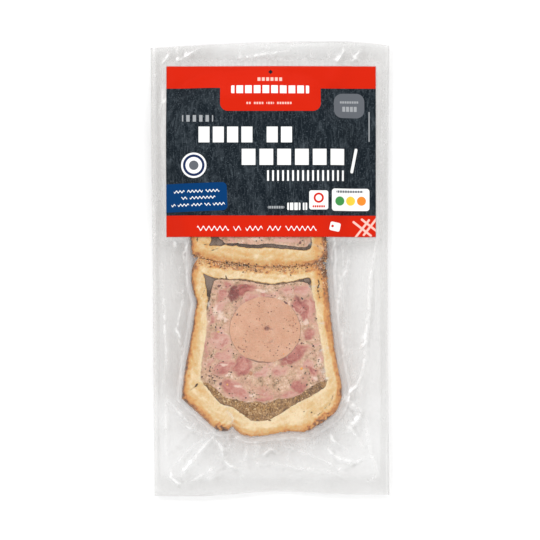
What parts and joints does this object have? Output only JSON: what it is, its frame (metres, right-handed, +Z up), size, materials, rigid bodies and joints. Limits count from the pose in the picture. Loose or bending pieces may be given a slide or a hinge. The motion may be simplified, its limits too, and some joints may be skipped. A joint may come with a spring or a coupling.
{
  "type": "vacuum pack of sliced pate en croute",
  "caption": "Slices of pate en croute lying base to base in a clear flat vacuum pouch with sealed edges, with a printed label stuck over its upper half.",
  "frame": {"origin": "on the table under the middle of the pack, which lies on its back with the label up", "axes": "+X across the pack, +Y along it towards the end with the label, +Z up out of the face with the label"},
  "size_m": [0.1312, 0.2499, 0.016],
  "materials": {
    "clear_film": "clear heat-sealed packing film, glossy, creased where it is pulled round the slices",
    "printed_label": "printed self-adhesive label, satin",
    "pastry_crust": "baked crust pastry, pale and crumbly inside and browned outside",
    "pate": "cut forcemeat with pieces of ham, smooth mousse and brown jelly, moist"
  },
  "bodies": {
    "root": {"pouch": "clear_film", "label": "printed_label"}
  },
  "joints": []
}
